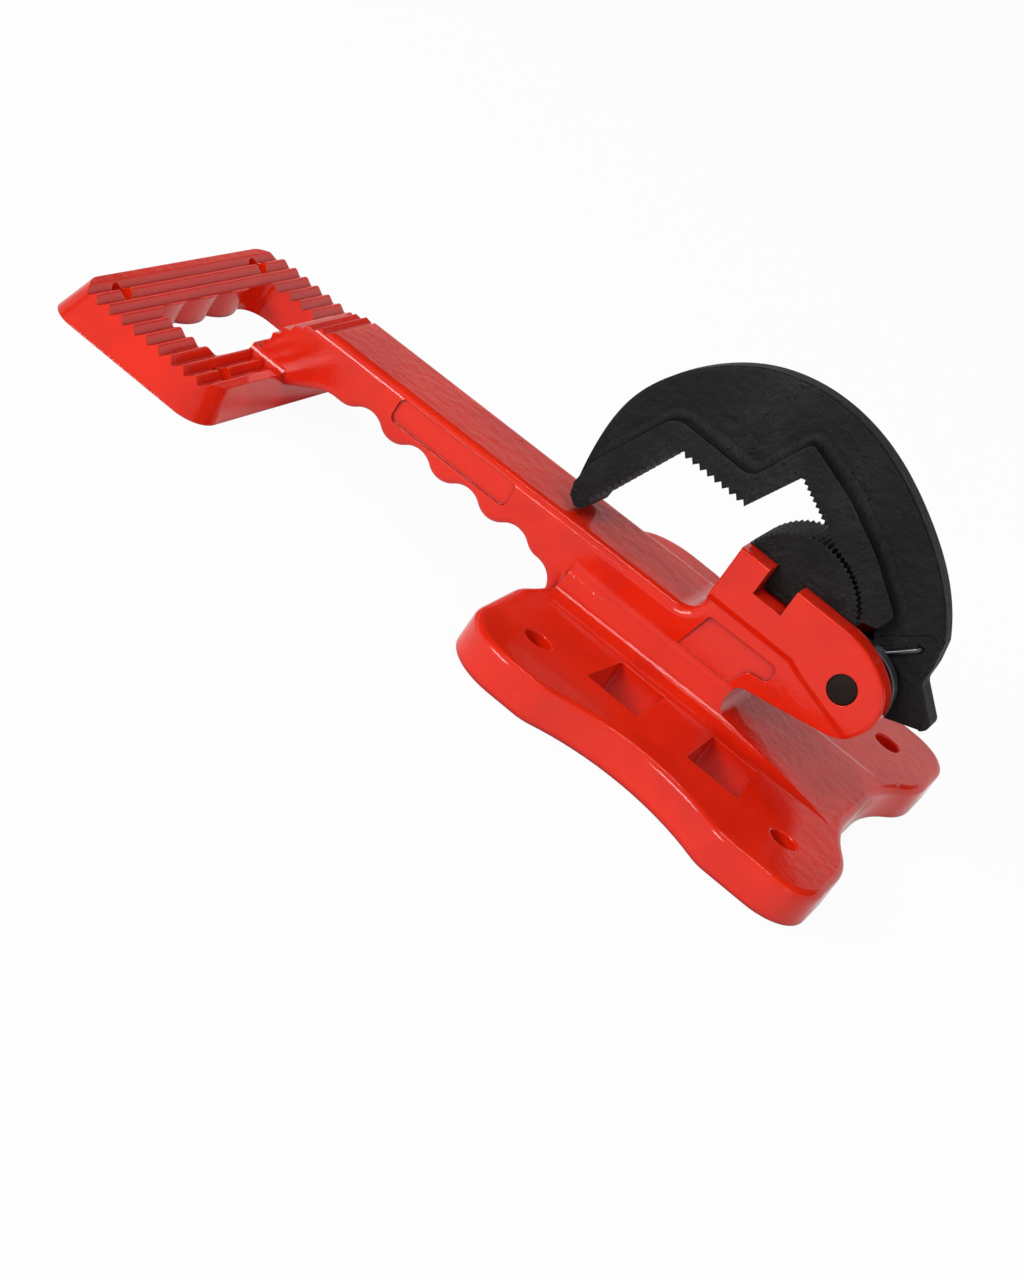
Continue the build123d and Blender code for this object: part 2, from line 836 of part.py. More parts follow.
# Toothed band on both sides of the web
with BuildPart() as band:
    with BuildSketch(side_view):
        with BuildLine():
            FilletPolyline(*outer, throat_end, radius=band_outer_radii)
            Polyline(*teeth, *throat, throat_end)
            FilletPolyline(teeth[0], *lift(band_tip), outer[0], radius=band_tip_radii)
        make_face()
    extrude(amount=band_half_width, both=True)

# Shallow pocket for the coil in the near side of the web
with BuildPart() as pocket:
    with BuildSketch(side_view.offset(web_half_thickness - pocket_depth)):
        with BuildLine():
            pocket_corners = lift(pocket_points)
            FilletPolyline(pocket_corners, radius=pocket_radii)
            Line(pocket_corners[-1], pocket_corners[0])
        make_face()
    extrude(amount=2 * pocket_depth)

# Hook jaw: web, band, hub, pin bore and spring hole
with BuildPart() as hook_jaw:
    with BuildSketch(side_view):
        with BuildLine():
            web_outline()
        make_face()
    extrude(amount=web_half_thickness, both=True)
    web_faces = (-web_half_thickness, web_half_thickness)
    fillet([edge_at(hook_jaw, crown[0], y, crown[1]) for y in web_faces], radius=web_rim_radius)
    add(pocket.part, mode=Mode.SUBTRACT)
    add(band.part)
    with BuildSketch(side_view):
        with Locations((pin_x, deck + pin_height)):
            Circle(hub_radius)
    extrude(amount=band_half_width, both=True)
    with BuildSketch(side_view):
        with Locations((pin_x, deck + pin_height)):
            Circle(pin_radius + pin_running_fit)
        with Locations(lift([spring_hole])[0]):
            Circle(spring_hole_radius)
    extrude(amount=band_half_width, both=True, mode=Mode.SUBTRACT)

# Torsion spring: one wire, from the frame's anchor hole round the hub to the hook's hole
eye_x, eye_height = lift([spring_hole])[0]
elbow_x = eye_x - (eye_height - coil_top) / math.tan(math.radians(leg_angle))
with BuildPart() as hook_spring:
    with BuildLine() as wire:
        coil = Helix(
            pitch=coil_pitch,
            height=coil_pitch * coil_turn_count,
            radius=coil_radius,
            center=(pin_x, coil_start_y, coil_centre_height),
            direction=(0, 1, 0),
        )
        way = coil % 0
        Line(coil @ 0 - way * (pin_x - clevis_start_x + spring_anchor_depth), coil @ 0)
        elbow = coil @ 1 + way * (elbow_x - pin_x)
        FilletPolyline(
            coil @ 1,
            elbow,
            (eye_x, elbow.Y, eye_height),
            (eye_x, web_half_thickness / 2, eye_height),
            radius=leg_bend_radius,
        )
    spring_path = wire.wires()[0]
    with BuildSketch(Plane(origin=spring_path @ 0, z_dir=spring_path % 0)):
        Circle(wire_radius)
    sweep(path=spring_path)

# Socket screw up from the well into the tongue, with a spring washer under its head
with BuildPart() as heel_washer:
    with BuildSketch(Plane.XY.offset(head_seat)):
        with Locations((screw_x, 0)):
            Circle(screw_head_radius)
            Circle(screw_radius + screw_hole_clear, mode=Mode.SUBTRACT)
        with Locations((screw_x + screw_head_radius, 0)):
            Rectangle(screw_head_radius, washer_split, mode=Mode.SUBTRACT)
    extrude(amount=washer_thickness)
with BuildPart() as heel_screw:
    with BuildSketch(Plane.XY.offset(head_seat - screw_head_height)):
        with Locations((screw_x, 0)):
            Circle(screw_head_radius)
    extrude(amount=screw_head_height)
    with BuildSketch(Plane.XY.offset(head_seat)):
        with Locations((screw_x, 0)):
            Circle(screw_radius)
    extrude(amount=screw_length)
    chamfer(heel_screw.edges().group_by(Axis.Z)[-1], length=screw_chamfer)
    with BuildSketch(Plane.XY.offset(head_seat - screw_head_height)):
        with Locations((screw_x, 0)):
            RegularPolygon(screw_socket / 2, 6, major_radius=False)
    extrude(amount=screw_socket_depth, mode=Mode.SUBTRACT)

pieces = {
    "frame": frame,
    "hook_jaw": hook_jaw,
    "heel_jaw": heel_jaw,
    "pivot_pin": pivot_pin,
    "hook_spring": hook_spring,
    "heel_screw": heel_screw,
    "heel_washer": heel_washer,
}
for name, piece in pieces.items():
    piece.part.label = name
    export_step(piece.part, f"parts/{name}.step")
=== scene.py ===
import math

import bpy
import numpy as np
from mathutils import Matrix, Vector


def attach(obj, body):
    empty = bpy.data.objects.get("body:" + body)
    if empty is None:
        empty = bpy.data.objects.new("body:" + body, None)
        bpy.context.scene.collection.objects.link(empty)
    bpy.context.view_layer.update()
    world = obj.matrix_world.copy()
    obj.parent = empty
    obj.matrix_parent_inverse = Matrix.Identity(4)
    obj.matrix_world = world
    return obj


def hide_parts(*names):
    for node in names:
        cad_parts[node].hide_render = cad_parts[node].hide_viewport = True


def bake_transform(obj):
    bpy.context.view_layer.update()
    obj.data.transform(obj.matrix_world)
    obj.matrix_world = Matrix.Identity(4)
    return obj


bl_info = {
    "name": "Pipe vise looks",
    "version": (1, 0, 0),
    "blender": (4, 5, 0),
    "location": "View3D > Sidebar > Pipe vise",
    "description": "Finishes, spring, band fillets and studio of a hooked pipe vise",
    "category": "Object",
}

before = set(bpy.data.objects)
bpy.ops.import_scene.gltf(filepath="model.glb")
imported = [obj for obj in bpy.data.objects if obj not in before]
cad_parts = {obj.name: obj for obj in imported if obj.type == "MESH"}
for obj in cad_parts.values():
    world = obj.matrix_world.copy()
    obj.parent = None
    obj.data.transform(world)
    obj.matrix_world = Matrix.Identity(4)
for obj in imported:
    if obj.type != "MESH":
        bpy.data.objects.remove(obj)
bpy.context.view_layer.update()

# Sizes of the solids that the new pieces follow, in millimetres
MM = 0.001
DECK = 16.5  # the base's top face, from which the heights of the hook's lines are counted
PIN = (39.2, 58.8)
WEB_HALF = 6.0
BAND_LINE = (
    (-96.6, 36.0), (-94.9, 47.0), (-77.8, 83.3), (-39.9, 82.7), (-28.0, 108.9), (-3.2, 100.4),
    (18.9, 88.3), (37.6, 74.2), (34.4, 66.4),
)
BAND_ROUNDS = (25.0, 9.0, 7.0, 3.0, 60.0, 60.0, 3.5)
BACK_LINE = (
    (-97.6, 34.5), (-99.9, 52.0), (-98.2, 76.0), (-83.4, 101.4), (-59.5, 119.6), (-32.9, 126.0),
    (-4.5, 122.3), (22.5, 109.9), (47.5, 90.7), (58.4, 76.0),
)

# Band fillet, in millimetres
FADE_AT_TIP = 14
FADE_AT_HUB = 6
FILLET_SINK = 0.5
LINE_STEP = 1.2
LEAST_FADE = 0.02  # share of the fillet's width that is left at both ends

# Torsion spring, in millimetres and degrees
COIL_START = -12.3  # where the coil starts along the pin
COIL_DROP = 0.9  # how far the coil's axis lies below the pin's
FRAME_LEG = 27.2
HOOK_HOLE = (52.3, 68.3)
LEG_ANGLE = 44.5
LEG_BEND = 1.5
TIP_REACH = 3.0  # how far the wire's end reaches past the web's middle
TURN_STEPS = 72  # points on one turn

# Floor, in metres: what gloss mirrors of it, and how closed in a point on it is
FLOOR_REACH = 40.0
FLOOR_LEVEL = -0.1 * MM
PAPER_EDGE = (0.088, 0.12)  # the mirrored paper fades out between these places along X
SHADE_REACH = 0.05
# Where the vise closes the paper in, gloss sees it painted darker: a painted shadow.
SHADE_OPEN = (0.2, 0.75)  # openness over which the mirrored paper turns bright
SHADE_COVERED = (0.02, 0.1)  # openness below which the vise stands on the paper
PAPER_MIRRORED = 0.8
PAPER_GLOW = 0.95

# World, in directions: a dark ceiling that gloss mirrors above a slanting edge
CEILING_SIDES = (-0.2, 0.12)  # the edge slants between these directions along X
CEILING_SLANT = 0.34
CEILING_BEHIND = (-0.4, -0.1)  # the ceiling sets in between these directions along Y
CEILING_BLUR = 0.002
CEILING_DARK = 0.9

# Lamps and camera, in metres and watts
AIM = (-0.08, 0.0, 0.05)
LAMPS = (
    ("front_box", (-0.9, -1.45, 0.66), (0.9, 0.35), 16.0),
    ("side_box", (1.1, -0.9, 0.35), (0.5, 0.9), 1.0),
    ("top_box", (-0.15, -0.12, 1.3), (0.6, 0.08), 1.8),
)
CAMERA_PLACE = (0.12064341, -1.06536266, 0.43298822)
CAMERA_RIGHT = (0.76167349, 0.37258966, 0.53012304)
CAMERA_UP = (-0.62448374, 0.20387349, 0.75395998)
CAMERA_BACK = (0.17283966, -0.90532455, 0.38796122)


class EnamelSettings(bpy.types.PropertyGroup):
    """Red enamel of the casting."""

    face: bpy.props.FloatVectorProperty(
        name="Enamel", description="Colour of the enamel", subtype="COLOR",
        size=4, min=0, max=1, default=(0.79, 0.019, 0.003, 1))
    # Lighter colour on outer edges: thinner enamel there, and a painted highlight.
    thin_and_highlit: bpy.props.FloatVectorProperty(
        name="Thin enamel", description="Colour where the enamel runs thin over an edge",
        subtype="COLOR", size=4, min=0, max=1, default=(0.9, 0.085, 0.03, 1))
    # Deep red for the random slow mottle, and painted shade in hollows and corners.
    deep_and_shaded: bpy.props.FloatVectorProperty(
        name="Pooled enamel", description="Colour where the enamel gathers in hollows",
        subtype="COLOR", size=4, min=0, max=1, default=(0.42, 0.004, 0.004, 1))
    sand: bpy.props.FloatProperty(
        name="Sand grain", description="Size of the cast skin's grain under the enamel",
        unit="LENGTH", default=0.0011, min=0.0002, max=0.02)
    gloss: bpy.props.FloatProperty(
        name="Roughness", description="Least roughness of the enamel", subtype="FACTOR",
        default=0.05, min=0, max=1)


class JawSettings(bpy.types.PropertyGroup):
    """Black jaws."""

    hook: bpy.props.FloatVectorProperty(
        name="Hook", description="Colour of the forged hook", subtype="COLOR",
        size=4, min=0, max=1, default=(0.0034, 0.0035, 0.0038, 1))
    heel: bpy.props.FloatVectorProperty(
        name="Heel", description="Colour of the heel jaw", subtype="COLOR",
        size=4, min=0, max=1, default=(0.0065, 0.0063, 0.0065, 1))
    # Lighter colour for wear and scuffs, and a painted highlight on edges and tooth tips.
    worn_and_highlit: bpy.props.FloatVectorProperty(
        name="Worn edge", description="Colour of rubbed tooth tips and edges", subtype="COLOR",
        size=4, min=0, max=1, default=(0.05, 0.049, 0.048, 1))
    dust: bpy.props.FloatVectorProperty(
        name="Dust", description="Colour of the small specks on the black", subtype="COLOR",
        size=4, min=0, max=1, default=(0.075, 0.075, 0.075, 1))
    grain: bpy.props.FloatProperty(
        name="Blast grain", description="Size of the shot-blasted grain",
        unit="LENGTH", default=0.001, min=0.0001, max=0.01)


class SpringSettings(bpy.types.PropertyGroup):
    """Torsion spring, in the frame of the part."""

    wire: bpy.props.FloatProperty(
        name="Wire radius", description="Radius of the spring wire",
        unit="LENGTH", default=0.001)
    coil: bpy.props.FloatProperty(
        name="Coil radius", description="Radius of the coil's centreline",
        unit="LENGTH", default=0.0172)
    pitch: bpy.props.FloatProperty(
        name="Coil pitch", description="Advance of one turn", unit="LENGTH", default=0.00205)
    turns: bpy.props.IntProperty(
        name="Turns", description="Whole turns of the coil", default=3)


class FilletSettings(bpy.types.PropertyGroup):
    """Fillet along the foot of the hook's toothed band."""

    run: bpy.props.FloatProperty(
        name="Run", description="Greatest width of the fillet on the web",
        unit="LENGTH", default=0.0044)
    rise: bpy.props.FloatProperty(
        name="Rise", description="Greatest height of the fillet on the band",
        unit="LENGTH", default=0.0038)
    share: bpy.props.FloatProperty(
        name="Share",
        description="Greatest share of the web's width beside the band that the fillet takes",
        subtype="FACTOR", default=0.55, min=0, max=0.7)


class StudioSettings(bpy.types.PropertyGroup):
    """Floor, lamps, world and camera."""

    focal: bpy.props.FloatProperty(
        name="Focal length", description="Lens for a 36 mm wide film",
        default=100.44, min=10, max=400)
    sky: bpy.props.FloatProperty(
        name="Sky", description="Strength of the world's light", default=0.5, min=0, max=4)
    mirrored: bpy.props.FloatProperty(
        name="Mirrored backdrop", description="Strength of the backdrop where gloss mirrors it",
        subtype="FACTOR", default=0.66, min=0, max=1)
    backdrop: bpy.props.FloatProperty(
        name="Backdrop",
        description="Angle up to which the white backdrop rises behind the object",
        subtype="ANGLE", default=math.radians(23.5), min=0, max=math.pi / 2)


def link(tree, a, b):
    """Joins an output to an input."""
    tree.links.new(a, b)


def add_node(tree, kind, **values):
    """A node with its properties and unlinked inputs set by name."""
    node = tree.nodes.new(kind)
    for name, value in values.items():
        if hasattr(node, name):
            setattr(node, name, value)
        else:
            node.inputs[name.replace("_", " ")].default_value = value
    return node


def math_node(tree, operation, a, b=None, clamp=False):
    """A Math node of two sockets or numbers; returns its output."""
    node = tree.nodes.new("ShaderNodeMath")
    node.operation = operation
    node.use_clamp = clamp
    for socket, value in zip(node.inputs, (a, b)):
        if value is None:
            continue
        if isinstance(value, bpy.types.NodeSocket):
            link(tree, value, socket)
        else:
            socket.default_value = value
    return node.outputs[0]


def times(tree, a, b):
    """Product of two sockets or numbers."""
    return math_node(tree, "MULTIPLY", a, b)


def one_less(tree, a, clamp=False):
    """One less a socket."""
    return math_node(tree, "SUBTRACT", 1.0, a, clamp)


def ramp(tree, source, low, high):
    """Smooth 0 to 1 between two values of a socket."""
    node = tree.nodes.new("ShaderNodeMapRange")
    node.interpolation_type = "SMOOTHSTEP"
    link(tree, source, node.inputs["Value"])
    node.inputs["From Min"].default_value = low
    node.inputs["From Max"].default_value = high
    return node.outputs[0]


def blend_colour(tree, mask, a, b):
    """Colour a where the mask is 0 and b where it is 1."""
    node = tree.nodes.new("ShaderNodeMix")
    node.data_type = "RGBA"
    link(tree, mask, node.inputs["Factor"])
    colour_inputs = [s for s in node.inputs if s.type == "RGBA"]
    for socket, value in zip(colour_inputs, (a, b)):
        if isinstance(value, bpy.types.NodeSocket):
            link(tree, value, socket)
        else:
            socket.default_value = value
    return [s for s in node.outputs if s.type == "RGBA"][0]


def shader_group(name, inputs, outputs):
    """A shader node group with number inputs and the named outputs.

    Returns the tree, its input node and its output node.
    """
    tree = bpy.data.node_groups.new(name, "ShaderNodeTree")
    for label, default in inputs:
        socket = tree.interface.new_socket(
            name=label, in_out="INPUT", socket_type="NodeSocketFloat")
        socket.default_value = default
    for label, kind in outputs:
        tree.interface.new_socket(name=label, in_out="OUTPUT", socket_type=kind)
    return tree, tree.nodes.new("NodeGroupInput"), tree.nodes.new("NodeGroupOutput")


def noise(tree, coordinates, scale, detail=4.0, roughness=0.55):
    """Noise of a scale that is a socket or a number."""
    node = tree.nodes.new("ShaderNodeTexNoise")
    link(tree, coordinates, node.inputs["Vector"])
    if isinstance(scale, bpy.types.NodeSocket):
        link(tree, scale, node.inputs["Scale"])
    else:
        node.inputs["Scale"].default_value = scale
    node.inputs["Detail"].default_value = detail
    node.inputs["Roughness"].default_value = roughness
    return node.outputs["Fac"]


def build_cast_skin():
    """Sand-cast or blasted skin.

    Puts out a height from two sizes of noise and a few pits, a slow mottle and the fine noise.
    """
    tree, ins, outs = shader_group(
        "Cast skin",
        [("Grain size", 0.0015), ("Pits", 0.4)],
        [("Height", "NodeSocketFloat"), ("Mottle", "NodeSocketFloat"),
         ("Fine", "NodeSocketFloat")],
    )
    place = tree.nodes.new("ShaderNodeTexCoord").outputs["Object"]
    rate = math_node(tree, "DIVIDE", 1.0, ins.outputs["Grain size"])
    fine = noise(tree, place, rate, detail=3.0, roughness=0.6)
    coarse = noise(tree, place, times(tree, rate, 0.22), detail=4.0, roughness=0.5)
    slow = noise(tree, place, times(tree, rate, 0.03), detail=5.0, roughness=0.55)
    cells = tree.nodes.new("ShaderNodeTexVoronoi")
    link(tree, place, cells.inputs["Vector"])
    link(tree, times(tree, rate, 0.3), cells.inputs["Scale"])
    pit = one_less(tree, ramp(tree, cells.outputs["Distance"], low=0.0, high=0.22))
    picked = times(tree, pit, ramp(tree, slow, low=0.5, high=0.62))
    sunk = times(tree, picked, ins.outputs["Pits"])
    height = math_node(tree, "ADD", times(tree, fine, 0.45), coarse)
    link(tree, math_node(tree, "SUBTRACT", height, sunk), outs.inputs["Height"])
    link(tree, slow, outs.inputs["Mottle"])
    link(tree, fine, outs.inputs["Fine"])
    return tree


def build_edge_mask():
    """Mask of outer edges, and the bevelled normal.

    The mask is how far the bevelled normal leans from the true one, broken up by noise.
    """
    tree, ins, outs = shader_group(
        "Edge mask",
        [("Radius", 0.0012), ("Break up", 260.0)],
        [("Edge", "NodeSocketFloat"), ("Normal", "NodeSocketVector")],
    )
    bevel = tree.nodes.new("ShaderNodeBevel")
    bevel.samples = 4
    link(tree, ins.outputs["Radius"], bevel.inputs["Radius"])
    geometry = tree.nodes.new("ShaderNodeNewGeometry")
    dot = tree.nodes.new("ShaderNodeVectorMath")
    dot.operation = "DOT_PRODUCT"
    link(tree, bevel.outputs["Normal"], dot.inputs[0])
    link(tree, geometry.outputs["Normal"], dot.inputs[1])
    lean = one_less(tree, dot.outputs["Value"], clamp=True)
    place = tree.nodes.new("ShaderNodeTexCoord").outputs["Object"]
    broken = noise(tree, place, ins.outputs["Break up"], detail=4.0, roughness=0.7)
    edge = times(tree, ramp(tree, lean, low=0.01, high=0.14),
                 ramp(tree, broken, low=0.3, high=0.6))
    link(tree, edge, outs.inputs["Edge"])
    link(tree, bevel.outputs["Normal"], outs.inputs["Normal"])
    return tree


def build_hollow_mask():
    """Mask of hollows: how much of the near surroundings closes a point in."""
    tree, ins, outs = shader_group(
        "Hollow mask", [("Reach", 0.004)], [("Hollow", "NodeSocketFloat")])
    near = tree.nodes.new("ShaderNodeAmbientOcclusion")
    near.samples = 6
    link(tree, ins.outputs["Reach"], near.inputs["Distance"])
    closed = one_less(tree, near.outputs["AO"])
    link(tree, ramp(tree, closed, low=0.06, high=0.5), outs.inputs["Hollow"])
    return tree


GROUPS = {}
GROUP_BUILDERS = {
    "Cast skin": build_cast_skin,
    "Edge mask": build_edge_mask,
    "Hollow mask": build_hollow_mask,
}


def shared_group(name):
    """The shared node group of that name, built at its first use."""
    if name not in GROUPS:
        GROUPS[name] = GROUP_BUILDERS[name]()
    return GROUPS[name]


def place_group(tree, name, **values):
    """A group node of a shared group with its inputs set."""
    node = tree.nodes.new("ShaderNodeGroup")
    node.node_tree = shared_group(name)
    for label, value in values.items():
        node.inputs[label.replace("_", " ")].default_value = value
    return node


def bump(tree, height, distance, strength, normal=None):
    """Bump of a height over a distance; returns the normal."""
    node = tree.nodes.new("ShaderNodeBump")
    node.inputs["Distance"].default_value = distance
    node.inputs["Strength"].default_value = strength
    link(tree, height, node.inputs["Height"])
    if normal is not None:
        link(tree, normal, node.inputs["Normal"])
    return node.outputs["Normal"]


def new_material(name):
    """A material with a Principled BSDF; returns the material, its tree and the shader."""
    material = bpy.data.materials.new(name)
    material.use_nodes = True
    tree = material.node_tree
    return material, tree, tree.nodes["Principled BSDF"]


def dress(node, material):
    """Puts a material on a CAD node or a new piece."""
    slots = node.data.materials
    slots.clear()
    slots.append(material)


def scaled(colour, factor):
    """A colour made lighter or darker by a factor, at most white."""
    return tuple(min(1.0, c * factor) for c in colour[:3]) + (1.0,)


def varied_roughness(tree, shader, source, spread, base):
    """Roughness that grows from a base with a mask, by its spread."""
    rough = math_node(tree, "ADD", times(tree, source, spread), base)
    link(tree, rough, shader.inputs["Roughness"])


def enamel_material(settings):
    """Glossy enamel on sand-cast skin, thinner on edges with painted highlight, painted shade in
    hollows.
    """
    material, tree, shader = new_material("red_enamel")
    skin = place_group(tree, "Cast skin", Grain_size=settings.sand, Pits=0.2)
    edge = place_group(tree, "Edge mask", Radius=0.0007, Break_up=180.0)
    hollow = place_group(tree, "Hollow mask", Reach=0.004)
    mottle = skin.outputs["Mottle"]
    slow = times(tree, ramp(tree, mottle, low=0.42, high=0.66), 0.3)
    # Hollows are painted deep red as painted shade; the slow mottle is random tone.
    mottle_and_shade_mask = math_node(tree, "MAXIMUM", slow, hollow.outputs["Hollow"])
    deep_and_shaded = blend_colour(tree, mottle_and_shade_mask, settings.face, settings.deep_and_shaded)
    # Outer edges are painted lighter: thinner enamel, and a painted highlight.
    outer = times(tree, edge.outputs["Edge"], one_less(tree, hollow.outputs["Hollow"]))
    light = blend_colour(tree, times(tree, outer, 0.7), deep_and_shaded, settings.thin_and_highlit)
    link(tree, light, shader.inputs["Base Color"])
    varied_roughness(tree, shader, ramp(tree, mottle, low=0.4, high=0.7),
                     spread=0.08, base=settings.gloss)
    normal = bump(tree, skin.outputs["Height"], distance=0.0004, strength=0.26,
                  normal=edge.outputs["Normal"])
    link(tree, normal, shader.inputs["Normal"])
    shader.inputs["Specular IOR Level"].default_value = 0.42
    return material


def forged_material(name, colour, settings, rough, strength, shine):
    """Black hammered and blasted steel: edges lighter from wear and a painted highlight, scuffed
    patches and specks of dust.
    """
    material, tree, shader = new_material(name)
    skin = place_group(tree, "Cast skin", Grain_size=settings.grain, Pits=0.7)
    edge = place_group(tree, "Edge mask", Radius=0.0008, Break_up=420.0)
    hollow = place_group(tree, "Hollow mask", Reach=0.003)
    mottle, fine = skin.outputs["Mottle"], skin.outputs["Fine"]
    mottled = blend_colour(tree, ramp(tree, mottle, low=0.4, high=0.72),
                           colour, scaled(colour, 2.6))
    outer = times(tree, edge.outputs["Edge"], one_less(tree, hollow.outputs["Hollow"]))
    # Outer edges are painted lighter: wear, and a painted highlight along them.
    rubbed_and_highlit = blend_colour(tree, outer, mottled, settings.worn_and_highlit)
    scuffs = times(tree, ramp(tree, mottle, low=0.52, high=0.68),
                   ramp(tree, fine, low=0.45, high=0.7))
    scuffed = blend_colour(tree, times(tree, scuffs, 0.4), rubbed_and_highlit, settings.worn_and_highlit)
    dusty = blend_colour(tree, ramp(tree, fine, low=0.69, high=0.76), scuffed, settings.dust)
    link(tree, dusty, shader.inputs["Base Color"])
    varied_roughness(tree, shader, fine, spread=0.25, base=rough - 0.12)
    normal = bump(tree, skin.outputs["Height"], distance=0.0008, strength=strength,
                  normal=edge.outputs["Normal"])
    link(tree, normal, shader.inputs["Normal"])
    shader.inputs["Specular IOR Level"].default_value = shine
    return material


def turned_material(name, colour, rough, centre):
    """Machined steel with fine rings round an axis along Y through the centre."""
    material, tree, shader = new_material(name)
    place = tree.nodes.new("ShaderNodeTexCoord").outputs["Object"]
    mapping = tree.nodes.new("ShaderNodeMapping")
    mapping.vector_type = "POINT"
    mapping.inputs["Location"].default_value = (-centre[0], 0.0, -centre[1])
    link(tree, place, mapping.inputs["Vector"])
    rings = tree.nodes.new("ShaderNodeTexWave")
    rings.wave_type = "RINGS"
    rings.rings_direction = "Y"
    rings.inputs["Scale"].default_value = 900.0
    rings.inputs["Distortion"].default_value = 1.5
    rings.inputs["Detail"].default_value = 2.0
    link(tree, mapping.outputs[0], rings.inputs["Vector"])
    skin = place_group(tree, "Cast skin", Grain_size=0.0008, Pits=0.3)
    tone = blend_colour(tree, ramp(tree, skin.outputs["Mottle"], low=0.35, high=0.65),
                        colour, scaled(colour, 0.45))
    link(tree, tone, shader.inputs["Base Color"])
    shader.inputs["Metallic"].default_value = 0.85
    varied_roughness(tree, shader, skin.outputs["Fine"], spread=0.3, base=rough - 0.15)
    height = math_node(tree, "ADD", times(tree, rings.outputs["Fac"], 0.4),
                       skin.outputs["Height"])
    link(tree, bump(tree, height, distance=0.0001, strength=0.5), shader.inputs["Normal"])
    return material


def wire_material():
    """Drawn spring wire, with lengthwise streaks in the wire's own map."""
    material, tree, shader = new_material("spring_wire")
    where = tree.nodes.new("ShaderNodeUVMap")
    where.uv_map = "wire"
    mapping = tree.nodes.new("ShaderNodeMapping")
    mapping.inputs["Scale"].default_value = (6.0, 40.0, 1.0)
    link(tree, where.outputs[0], mapping.inputs["Vector"])
    streak = noise(tree, mapping.outputs[0], 2.0, detail=4.0, roughness=0.6)
    dark, light = (0.035, 0.036, 0.042, 1), (0.16, 0.165, 0.18, 1)
    tone = blend_colour(tree, ramp(tree, streak, low=0.35, high=0.7), dark, light)
    link(tree, tone, shader.inputs["Base Color"])
    shader.inputs["Metallic"].default_value = 0.9
    varied_roughness(tree, shader, streak, spread=0.25, base=0.16)
    link(tree, bump(tree, streak, distance=0.00005, strength=0.4), shader.inputs["Normal"])
    return material


def grid_faces(rows, columns, first=0):
    """Faces of a grid that is closed round itself, and its two end caps."""
    index = first + np.arange(rows * columns).reshape(rows, columns)
    a = index[:-1, :]
    b = index[1:, :]
    quads = np.stack([a, np.roll(a, -1, 1), np.roll(b, -1, 1), b], -1).reshape(-1, 4)
    return quads.tolist(), [index[0, ::-1].tolist(), index[-1].tolist()]


def grid_mesh(name, grids, uv_name):
    """A mesh from grids of points (along, round, 3), each closed and capped at both ends.

    The map runs along a grid with its first number and round it with its second.
    """
    quads, caps, places, first = [], [], [], 0
    for grid in grids:
        rows, columns, _ = grid.shape
        sides, ends = grid_faces(rows, columns, first)
        quads += sides
        caps += ends
        along, around = np.divmod(np.arange(rows * columns), columns)
        places.append(np.stack([along / rows, around / columns], -1))
        first += rows * columns
    mesh = bpy.data.meshes.new(name)
    points = np.concatenate([grid.reshape(-1, 3) for grid in grids])
    mesh.from_pydata(points.tolist(), [], quads + caps)
    layer = mesh.uv_layers.new(name=uv_name)
    corner = np.zeros(len(mesh.loops), int)
    mesh.loops.foreach_get("vertex_index", corner)
    layer.data.foreach_set("uv", np.concatenate(places)[corner].astype(np.float32).ravel())
    mesh.polygons.foreach_set("use_smooth", [True] * len(quads) + [False] * len(caps))
    mesh.update()
    return mesh


def add_object(name, mesh):
    """A new piece in the scene, with its place in its mesh."""
    piece = bpy.data.objects.new(name, mesh)
    bpy.context.scene.collection.objects.link(piece)
    return piece


def unit(vectors):
    """Vectors of length one."""
    return vectors / np.linalg.norm(vectors, axis=-1, keepdims=True)


def arc_between(before, corner, after, radius, count):
    """Points of the circle of that radius that touches both runs of a corner.

    The centre lies on the bisector at radius over the sine of half the corner's angle.
    """
    u = unit(before - corner)
    v = unit(after - corner)
    half = math.acos(float(np.clip(u @ v, -1, 1))) / 2
    centre = corner + unit(u + v) * radius / math.sin(half)
    first = corner + u * radius / math.tan(half) - centre
    last = corner + v * radius / math.tan(half) - centre
    sweep = math.pi - 2 * half
    t = np.linspace(0, 1, count)[:, None]
    weighted = first * np.sin((1 - t) * sweep) + last * np.sin(t * sweep)
    return centre + weighted / math.sin(sweep)


def band_line():
    """Outer line of the hook's toothed band in its side view (x, z), from its tip to the hub.

    Straight runs joined by the circles that touch both runs of each corner.
    """
    corners = np.array(BAND_LINE) * MM + np.array([0.0, DECK * MM])
    bends = [
        arc_between(corners[i - 1], corners[i], corners[i + 1], BAND_ROUNDS[i - 1] * MM, count=14)
        for i in range(1, len(corners) - 1)
    ]
    runs = [corners[:1], *bends, corners[-1:]]
    line = [runs[0]]
    for run in runs[1:]:
        step = np.linalg.norm(run[0] - line[-1][-1])
        count = max(2, int(step / (LINE_STEP * MM)))
        share = np.linspace(0, 1, count, endpoint=False)[1:, None]
        line += [line[-1][-1] + (run[0] - line[-1][-1]) * share, run]
    return np.concatenate(line)


def back_line():
    """Back edge of the hook (x, z) as close points on straight runs."""
    corners = np.array(BACK_LINE) * MM + np.array([0.0, DECK * MM])
    share = np.linspace(0, 1, 30)[:, None, None]
    return (corners[:-1] + (corners[1:] - corners[:-1]) * share).reshape(-1, 2)


